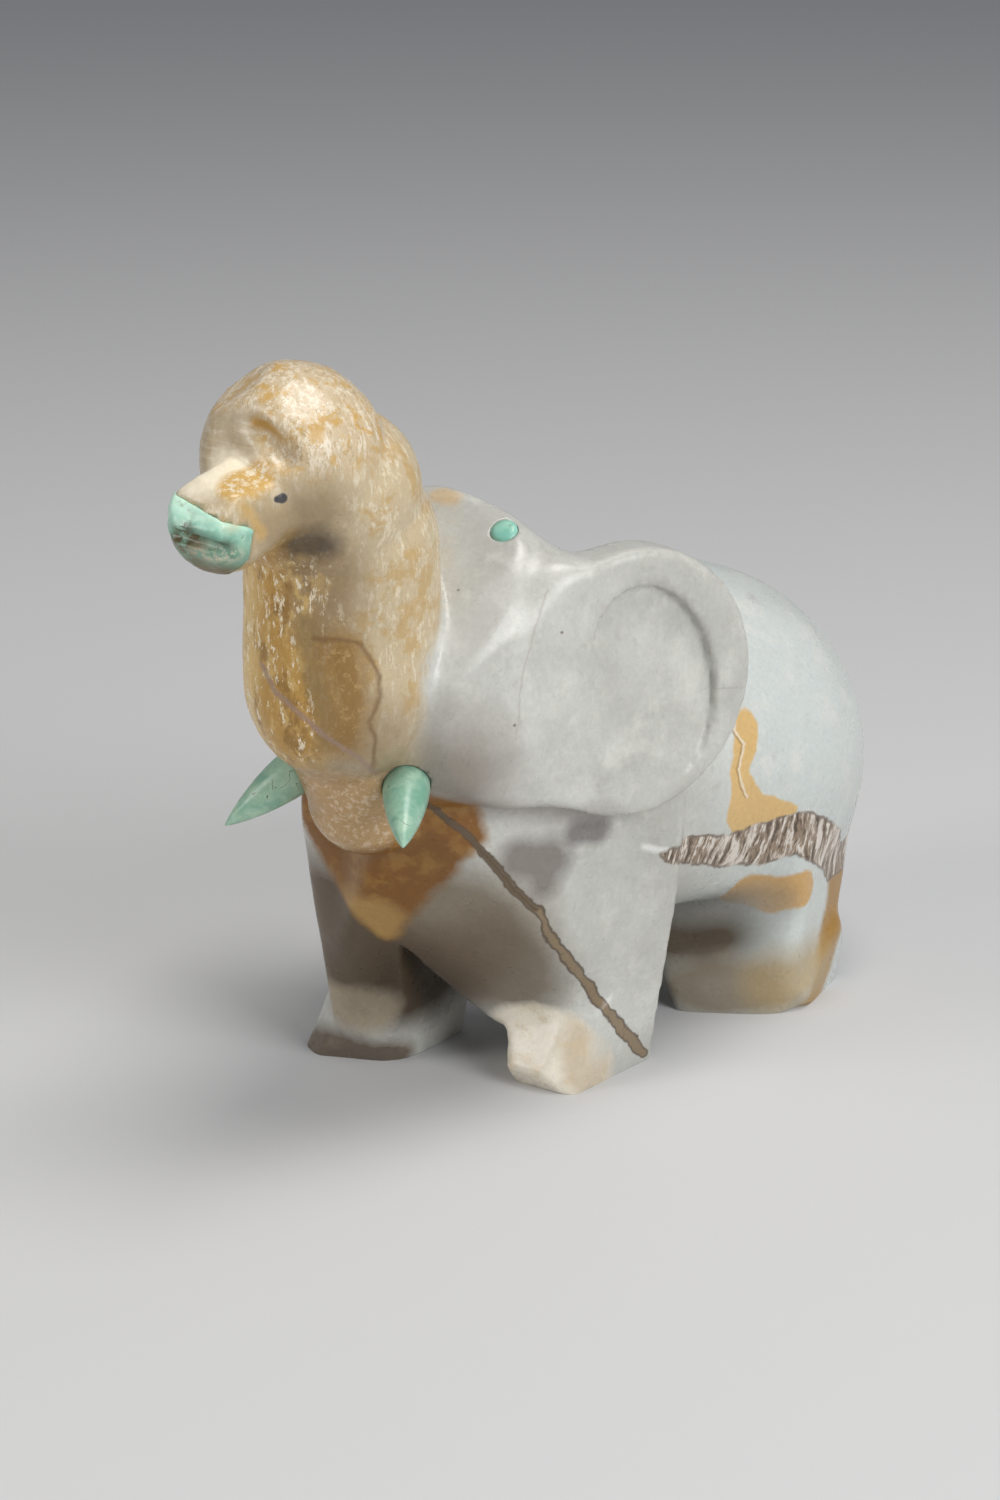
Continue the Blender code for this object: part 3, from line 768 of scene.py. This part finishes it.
def paint_column(s):
    """Ochre, tan above, olive in the middle and a darker stain with a rim, with painted light on its left
    side and a painted shadow under the snout. Gives its mask.
    """
    p, near, crisp = s.p, s.near, s.crisp
    column = ellipsoid(near, (-0.4, -19.6, 44), (7.4, 5.0, 14.5))
    column_mask = s.inside(column, 1.6)
    s.paint((0.50, 0.29, 0.07), column_mask)
    # Painted light: the column's left side lightened to a bright ochre, as if lit.
    s.spot((0.78, 0.56, 0.24), near, (-6.0, -16.5, 46), (3.6, 5.5, 13), 1.2, 0.85)
    s.spot((0.34, 0.24, 0.13), near, (4.4, -17.2, 51.0), (3.4, 3.4, 5.4), 1.3, 0.9)
    light_streaks = s.ramp(s.value(near, 1.5, 4, 0.7, (1, 1, 0.5)), 0.50, 0.60)
    s.paint((0.66, 0.45, 0.17), column_mask * light_streaks * 0.8)
    dark_streaks = s.ramp(s.value(near, 2.2, 4, 0.7, (1, 1, 0.6)), 0.53, 0.64)
    s.paint((0.27, 0.14, 0.025), column_mask * dark_streaks * 0.75)
    s.paint((0.90, 0.80, 0.60), column_mask * s.ramp(s.value(p, 0.6, 4, 0.8, (1, 1, 0.4)), 0.56, 0.61) * 0.9)
    olive = seam(near, ((2.8, -17.5, 48.2), (3.6, -17.3, 43.8), (4.5, -16.9, 38.6)), 1.2, 1.0, -60)
    s.paint((0.27, 0.18, 0.07), s.inside(olive, 0.6) * 0.85)
    stain = seam(crisp, ((5.3, -16.2, 45.8), (5.9, -15.7, 42), (5.1, -15.7, 38.2)), 1.9, 1.5, -50)
    s.paint((0.29, 0.165, 0.045), s.inside(stain, 1.1))
    s.paint((0.46, 0.30, 0.12), s.inside(stain, 0.8) * s.ramp(s.fleck, 0.54, 0.60) * 0.7)
    s.paint((0.19, 0.10, 0.03), s.inside(seam(crisp, ARC, 0.18, 0.14, -40), 0.16) * 0.8)
    s.paint((0.34, 0.23, 0.18), s.inside(seam(crisp, MAUVE, 0.24, 0.2, -60), 0.16) * 0.8)
    # Painted shadow: a near-black spot on the column under the snout.
    s.spot((0.055, 0.038, 0.02), near, (4.6, -18.9, 55.4), (2.9, 2.4, 1.6), 0.9, 0.85)
    return column_mask


def paint_front_legs(s):
    """Olive grey and brown, darkened by painted shade on the fronts, between the legs and inside the right
    leg, with painted light and highlights on the right leg and its foot, and cream toes on the left one.
    """
    broad, near, crisp = s.broad, s.near, s.crisp
    # Olive grey on the left leg's front, darker lower down, partly the stone's colour and partly painted
    # shade on faces turned down and forward; then painted shade between the legs.
    s.spot((0.23, 0.185, 0.125), broad, (3.0, 2.5, 17), (8.0, 6.5, 9.5), 2.2, 0.92)
    s.spot((0.17, 0.13, 0.085), near, (6.3, 5.0, 12), (5.4, 6, 7), 2.0, 0.85)
    s.spot((0.12, 0.08, 0.045), near, (0.5, 2, 11), (4.5, 6, 5), 2.2, 0.85)
    # The right leg's dark brown, partly the stone's and partly painted shade; then a lighter painted
    # highlight on its outer front; then painted shade, near black, on its inner side.
    s.spot((0.095, 0.06, 0.028), near, (-8.5, 2, 14), (8, 9, 9), 2.2, 0.95)
    s.spot((0.17, 0.125, 0.075), near, (-12.5, -1, 15), (2.6, 4, 6), 1.8, 0.7)
    s.spot((0.055, 0.035, 0.018), near, (-2.5, 6.5, 8.6), (5.0, 8.5, 5.5), 1.8, 0.95)
    # The right foot's top, partly the stone's grey-brown and partly painted light on its lit top; then a
    # painted highlight on its right part; then a darker brown along the foot's bottom.
    s.spot((0.42, 0.35, 0.25), near, (-9.8, 0.8, 5.8), (6.0, 4.2, 2.3), 0.9, 0.9, turn=(0, 8, 0))
    s.spot((0.30, 0.25, 0.18), near, (-6.0, 1.0, 6.6), (3.0, 3.2, 1.9), 0.8, 0.8)
    s.spot((0.12, 0.08, 0.045), near, (-9.0, 1.5, 0.6), (7.5, 6, 2.2), 0.8, 0.9)
    toe = ellipsoid(crisp, (7.8, 7.0, 1.0), (6.6, 8.5, 6.9))
    toe = common(toe, slab(crisp, (12.0, 12, 6), (1, 0.1, 0.12)), 0.3)
    toe_mask = s.inside(toe, 0.5)
    s.paint((0.82, 0.76, 0.64), toe_mask)
    toe_side = s.inside(ellipsoid(near, (12.0, 11.5, 3.5), (2.6, 4.5, 5)), 0.8)
    s.paint((0.56, 0.46, 0.33), toe_mask * toe_side * 0.8)
    s.paint((0.62, 0.49, 0.30), toe_mask * s.ramp(s.value(near, 1.8, 4, 0.7), 0.54, 0.64) * 0.5)


def paint_front(s):
    """A sandy jaw over a deep brown bib that comes to a point, the brown partly the stone's and partly
    painted shade under the jaw. Gives the jaw's mask.
    """
    near = s.near
    bib = ellipsoid(near, (-1.5, -4, 25), (11, 9, 12))
    bib = common(bib, slab(near, (-2.8, -0.2, 13.9), (0.72, 0, -0.69)), 0.5)
    bib = common(bib, slab(near, (-2.8, -0.2, 13.9), (-0.83, 0, -0.56)), 0.5)
    bib_mask = s.inside(bib, 0.5)
    # The bib's deep brown is partly the stone's colour and partly painted shade under the jaw.
    s.paint((0.225, 0.095, 0.014), bib_mask)
    s.paint((0.40, 0.22, 0.05), bib_mask * s.ramp(s.value(near, 2.4, 3, 0.65), 0.48, 0.62) * 0.5)
    bib_point = s.inside(ellipsoid(near, (-3.4, -1.5, 16.5), (3.4, 4, 3.0)), 1.0)
    s.paint((0.48, 0.30, 0.10), bib_mask * bib_point * 0.75)
    lip = ellipsoid(near, (-0.5, -11, 30.6), (6.6, 6.6, 5.6))
    lip_mask = s.inside(lip, 0.6)
    s.paint((0.49, 0.315, 0.145), lip_mask)
    s.paint((0.72, 0.57, 0.40), lip_mask * s.ramp(s.fleck, 0.52, 0.58) * 0.7)
    s.spot((0.30, 0.165, 0.05), near, (-5.5, -11, 31), (3.4, 6, 5), 1.4, 0.7)
    return lip_mask


def paint_shoulder(s):
    """Two clear grey patches with the long brown vein beside them."""
    p, crisp = s.p, s.crisp
    clear = join(seam(crisp, ((10.3, 1.9, 24.0), (11.3, 4.4, 23.4)), 1.9, 2.1, -28),
                 seam(crisp, ((11.3, 4.4, 23.4), (11.1, 4.3, 21.2)), 2.1, 1.4, -28), 0.8)
    s.paint((0.22, 0.19, 0.17), s.inside(clear, 0.9) * 0.9)
    second = seam(crisp, ((12.8, 6.8, 25.6), (13.7, 9.0, 25.3)), 1.15, 1.1, -28)
    s.paint((0.19, 0.175, 0.165), s.inside(second, 0.55) * 0.9)
    winding = s.wander(s.wander(p, 2.2, 1.0), 0.6, 0.25)
    vein = seam(winding, VEIN, 0.16, 0.50)
    s.paint((0.25, 0.185, 0.11), s.inside(vein, 0.10))
    s.paint((0.075, 0.048, 0.028), s.inside(vein.math("ABSOLUTE") - 0.09 * MM, 0.08) * 0.9)
    s.paint((0.11, 0.075, 0.045), s.inside(seam(winding, VEIN[:7], 0.20, 0.22), 0.14) * 0.95)


def paint_flank(s):
    """Ochre patches with the striped crystal band across them."""
    near, crisp = s.near, s.crisp
    upper = seam(crisp, ((16.4, 28.9, 30.3), (16.6, 28, 28.4)), 1.5, 1.4, -12)
    upper = join(upper, seam(crisp, ((16.6, 28, 28.4), (16.8, 26.8, 26.6)), 1.4, 1.1, -12), 0.5)
    upper = join(upper, seam(crisp, ((16.8, 26.8, 26.6), (17, 27.6, 23.4)), 1.1, 2.2, -12), 0.8)
    upper = join(upper, seam(crisp, ((17, 27.6, 22.6), (18.1, 34.4, 21.2)), 2.2, 0.5, -12), 0.8)
    s.paint((0.64, 0.43, 0.18), s.inside(upper, 0.16))
    s.paint((0.72, 0.62, 0.46), s.inside(seam(crisp, WORM, 0.16, 0.13, -12), 0.09))
    worm_shade = seam(crisp.math("ADD", (0, 0.28 * MM, 0)), WORM, 0.10, 0.08, -12)
    s.paint((0.32, 0.19, 0.07), s.inside(worm_shade, 0.09) * 0.8)
    low = seam(crisp, ((14.6, 32.4, 12.9), (15.9, 34.8, 12.1), (17.4, 37.0, 12.4)), 1.9, 2.0, -25)
    s.paint((0.56, 0.345, 0.135), s.inside(low, 0.2))
    down_edge = ((16.4, 46.5, 11.5), (16.4, 46, 8.7), (17, 44.4, 5.8), (17.5, 42.4, 3), (17.5, 40, 0))
    edge = line(near, down_edge, 2.4, 1.9)
    s.paint((0.36, 0.205, 0.06), s.inside(edge, 0.6))
    band = join(seam(near, BAND_LEFT, 0.25, 2.3, -15), seam(near, BAND_RIGHT, 2.3, 1.5, 5), 0.5)
    band_mask = s.inside(band, 0.16)
    s.paint((0.29, 0.215, 0.15), band_mask)
    stripes = s.value(crisp, 0.75, 4, 0.7, (0.4, 1.0, 0.2))
    s.paint((0.74, 0.68, 0.61), band_mask * s.ramp(stripes, 0.50, 0.57) * 0.9)
    s.paint((0.085, 0.06, 0.042), band_mask * s.ramp(stripes, 0.465, 0.40))
    rim = s.inside(band.math("ABSOLUTE") - 0.13 * MM, 0.12)
    s.paint((0.14, 0.10, 0.07), rim * s.ramp(s.value(near, 1.4, 2, 0.5), 0.40, 0.52) * 0.85)
    glint = seam(crisp, ((16.4, 13.2, 22.9), (16.3, 15.6, 22.2)), 0.35, 0.2, -15)
    s.paint((0.78, 0.78, 0.74), s.inside(glint, 0.2) * 0.9)


def paint_rear_legs(s):
    """Blue-grey above, with painted shade in darker grey where the belly meets each leg and in dark brown in
    the hollow above the foot, and a brownish foot.
    """
    broad, near = s.broad, s.near
    for side in (1, -1):
        # Painted shade: a darker grey where the belly meets the leg, then dark brown in the hollow above the
        # foot.
        s.spot((0.27, 0.27, 0.255), broad, (side * 12, 32, 10.6), (7, 5, 2.6), 1.8, 0.75)
        s.spot((0.085, 0.06, 0.035), broad, (side * 9.5, 31.0, 7.2), (7.6, 5.0, 3.0), 2.0, 0.95,
               turn=(0, side * -6, 0))
        s.spot((0.23, 0.175, 0.11), near, (side * 11, 34, 2.6), (7, 6, 3.4), 1.2, 0.85)
        s.spot((0.42, 0.31, 0.155), near, (side * 16, 38, 3.2), (3.5, 6, 3.6), 1.4, 0.8)


def paint_flaws(s):
    """Hairline cracks and small dark pits."""
    p, crisp = s.p, s.crisp
    crack = seam(crisp, ((19.6, 16.6, 37.2), (20.4, 18, 37.4), (21.3, 20, 36.9)), 0.06, 0.05, -23)
    s.paint((0.38, 0.36, 0.33), s.inside(crack, 0.08) * 0.7)
    down_head = ((13.0, 1.6, 48.7), (13.0, -0.1, 45.6), (12.8, -1.7, 40.1), (12.8, -2.1, 36.4))
    crack = seam(crisp, down_head, 0.07, 0.07, -23)
    s.paint((0.42, 0.38, 0.34), s.inside(crack, 0.10) * 0.7)
    s.spot((0.60, 0.42, 0.21), crisp, (0.9, 3.8, 54.6), (1.6, 1.2, 0.8), 0.4, 0.7)
    snout_chip = line(p, ((4.1, -22.6, 60.1), (4.25, -22.1, 60.1)), 0.28, 0.42)
    s.paint((0.055, 0.05, 0.05), s.inside(snout_chip, 0.06))
    for place in PITS:
        s.spot((0.13, 0.10, 0.09), p, place, (0.16, 0.16, 0.13), 0.05, 0.8)


def marble():
    """The whole stone: its parts in their order, then fine grain and sparkle."""
    s = Marble()
    p, grain = s.p, s.grain
    paint_grey(s)
    cream_mask = paint_trunk(s)
    paint_dome(s)
    paint_snout(s)
    column_mask = paint_column(s)
    paint_front_legs(s)
    lip_mask = paint_front(s)
    paint_shoulder(s)
    paint_flank(s)
    paint_rear_legs(s)
    paint_flaws(s)
    s.shade(s.ramp(grain, 0.3, 0.7), 0.92, 1.06)
    s.tree.links.new(s.colour, s.shader.inputs["Base Color"])
    rough = s.ramp(s.value(p, 2.5, 3, 0.6), 0.3, 0.7) * 0.12 + 0.24
    s.tree.links.new(rough.socket, s.shader.inputs["Roughness"])
    sandy = (cream_mask * 0.5 + column_mask + lip_mask).math("MINIMUM", 1.0)
    height = s.value(p, 0.8, 4, 0.75) * sandy
    waves = s.bumps(s.value(p, 4.5, 2, 0.5), 0.08, 0.6)
    crystals = s.bumps(height, 0.12, 0.6, waves)
    pits = s.bumps(grain, 0.012, 0.6, crystals)
    s.tree.links.new(pits, s.shader.inputs["Normal"])
    s.shader.inputs["Subsurface Weight"].default_value = 0.12
    s.shader.inputs["Subsurface Radius"].default_value = (1.0, 0.8, 0.6)
    s.shader.inputs["Subsurface Scale"].default_value = 0.001
    s.shader.inputs["IOR"].default_value = 1.5
    return s.material


def paint_cap(s, near):
    """A pale upper facet, and brown matrix and cream in the darker lower half."""
    s.paint((0.62, 0.86, 0.70), s.inside(slab(near, (0, -28, 58.9), (0, -0.3, -1)), 0.5) * 0.6)
    low = s.inside(slab(near, (0, -28, 57.6), (0, 0.1, 1)), 0.9)
    s.paint((0.13, 0.23, 0.15), low * 0.7)
    matrix = s.ramp(s.value(near, 1.1, 4, 0.7), 0.44, 0.54)
    s.paint((0.14, 0.11, 0.05), s.inside(ellipsoid(near, (-0.8, -28.1, 56.8), (1.7, 1.6, 1.7)), 0.5) * matrix)
    cream = s.inside(ellipsoid(near, (2.0, -27.6, 56.3), (2.6, 1.6, 0.7)), 0.4)
    s.paint((0.66, 0.62, 0.46), cream * matrix * 0.8)
    s.spot((0.60, 0.62, 0.42), near, (3.2, -27.2, 58.6), (0.6, 1.2, 0.5), 0.3, 0.6)
    slit = line(near, ((-0.4, -28.1, 58.1), (1.4, -27.8, 57.6), (3.2, -27.3, 57.1)), 0.42)
    s.paint((0.06, 0.10, 0.06), s.inside(slit, 0.4) * 0.9)
    s.paint((0.17, 0.105, 0.04), s.inside(slab(near, (0, -28, 55.5), (0, 0.25, 1)), 0.5) * 0.9)


def turquoise(name, pale, deep, cap=False):
    """Clouded turquoise with fine threads, and the cap's own marks where it is the cap."""
    s = Stone(name)
    near = s.wander(s.p, 1.2, 0.5)
    cloud = s.value(near, 1.6, 4, 0.6)
    s.colour = s.mixed(deep, pale, s.ramp(cloud, 0.36, 0.64))
    threads = (s.value(near, 2.2, 3, 0.6) - 0.5).math("ABSOLUTE")
    s.paint((0.10, 0.10, 0.05), s.ramp(threads, 0.012, 0.004) * s.ramp(cloud, 0.52, 0.60))
    if cap:
        paint_cap(s, near)
    s.tree.links.new(s.colour, s.shader.inputs["Base Color"])
    s.shader.inputs["Roughness"].default_value = 0.30
    s.tree.links.new(s.bumps(s.value(s.p, 0.9, 3, 0.6), 0.03, 0.5), s.shader.inputs["Normal"])
    s.shader.inputs["Subsurface Weight"].default_value = 0.1
    s.shader.inputs["Subsurface Scale"].default_value = 0.0006
    return s.material


stone = marble()
cutters = [floor_cutter()]
for word, base, way, pale, deep in TUSKS:
    socket = socket_profile(TUSK_DIAMETER, TUSK_ROOT, 2 * MM)
    cutters.append(cutter("tusk_hole_" + word, turned_mesh("hole", socket, base, way)))
    tusk = placed("fine_tusk_" + word, turned_mesh("tusk", tusk_profile(), base, way),
                  turquoise("tusk_stone_" + word, pale, deep))
    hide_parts("tusk_" + word)
for side, word in ((1, "left"), (-1, "right")):
    place, up = (side * 7.7, 3.0, 52.78), (side * 0.17, -0.59, 0.79)
    socket = socket_profile(EYE_DIAMETER, EYE_DEPTH, 2 * MM)
    cutters.append(cutter("eye_hole_" + word, turned_mesh("hole", socket, place, up)))
    eye = placed("fine_eye_" + word, turned_mesh("eye", eye_profile(), place, up),
                 turquoise("eye_stone_" + word, *EYE_COLOURS))
    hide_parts("eye_" + word)
body = carve("fine_body", body_field, BODY_BLOCK, BODY_GRID, stone, cutters)
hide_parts("elephant_body")
cap_stone = turquoise("cap_stone", *CAP_COLOURS, cap=True)
cap = carve("fine_cap", tip_field, TIP_BLOCK, TIP_GRID, cap_stone)
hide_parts("trunk_tip_inlay")

# Floor, light and camera.
work = bmesh.new()
bmesh.ops.create_grid(work, x_segments=1, y_segments=1, size=2)
floor_mesh = bpy.data.meshes.new("floor")
work.to_mesh(floor_mesh)
work.free()
floor = bpy.data.objects.new("floor", floor_mesh)
bpy.context.scene.collection.objects.link(floor)
plain = bpy.data.materials.new("pale_floor")
plain.use_nodes = True
plain.node_tree.nodes["Principled BSDF"].inputs["Base Color"].default_value = (*(FLOOR_GREY,) * 3, 1)
plain.node_tree.nodes["Principled BSDF"].inputs["Roughness"].default_value = 0.9
floor_mesh.materials.append(plain)

target = Vector(LOOKED_AT) + SHIFT
world = bpy.data.worlds.new("studio")
bpy.context.scene.world = world
world.use_nodes = True
world.node_tree.nodes["Background"].inputs["Color"].default_value = (0.9, 0.93, 1.0, 1)
world.node_tree.nodes["Background"].inputs["Strength"].default_value = AMBIENT


def softbox(name, place, size, power, tint):
    lamp = bpy.data.lights.new(name, "AREA")
    lamp.size = size
    lamp.energy = power
    lamp.color = tint
    obj = bpy.data.objects.new(name, lamp)
    obj.location = target + Vector(place)
    obj.rotation_euler = Vector(place).to_track_quat("Z", "Y").to_euler()
    bpy.context.scene.collection.objects.link(obj)


softbox("key", (0.12, 0.02, 0.60), 0.28, 2.05, (1.0, 0.98, 0.95))
softbox("side", (0.54, -0.08, 0.26), 0.34, 2.2, (0.98, 0.99, 1.0))
softbox("front", (-0.30, -0.52, 0.26), 0.25, 1.15, (1.0, 0.97, 0.93))

azimuth, elevation = math.radians(BEARING), math.radians(RISE)
back = Vector((math.sin(azimuth) * math.cos(elevation), -math.cos(azimuth) * math.cos(elevation),
               math.sin(elevation)))
lens = bpy.data.cameras.new("camera")
lens.sensor_fit = "VERTICAL"
lens.sensor_height = 36
lens.lens = 85
lens.clip_start = 0.01
camera = bpy.data.objects.new("camera", lens)
camera.location = target + back * CAMERA_DISTANCE
camera.rotation_euler = back.to_track_quat("Z", "Y").to_euler()
bpy.context.scene.collection.objects.link(camera)
bpy.context.scene.camera = camera
bpy.context.scene.view_settings.view_transform = "Standard"

bpy.context.view_layer.update()
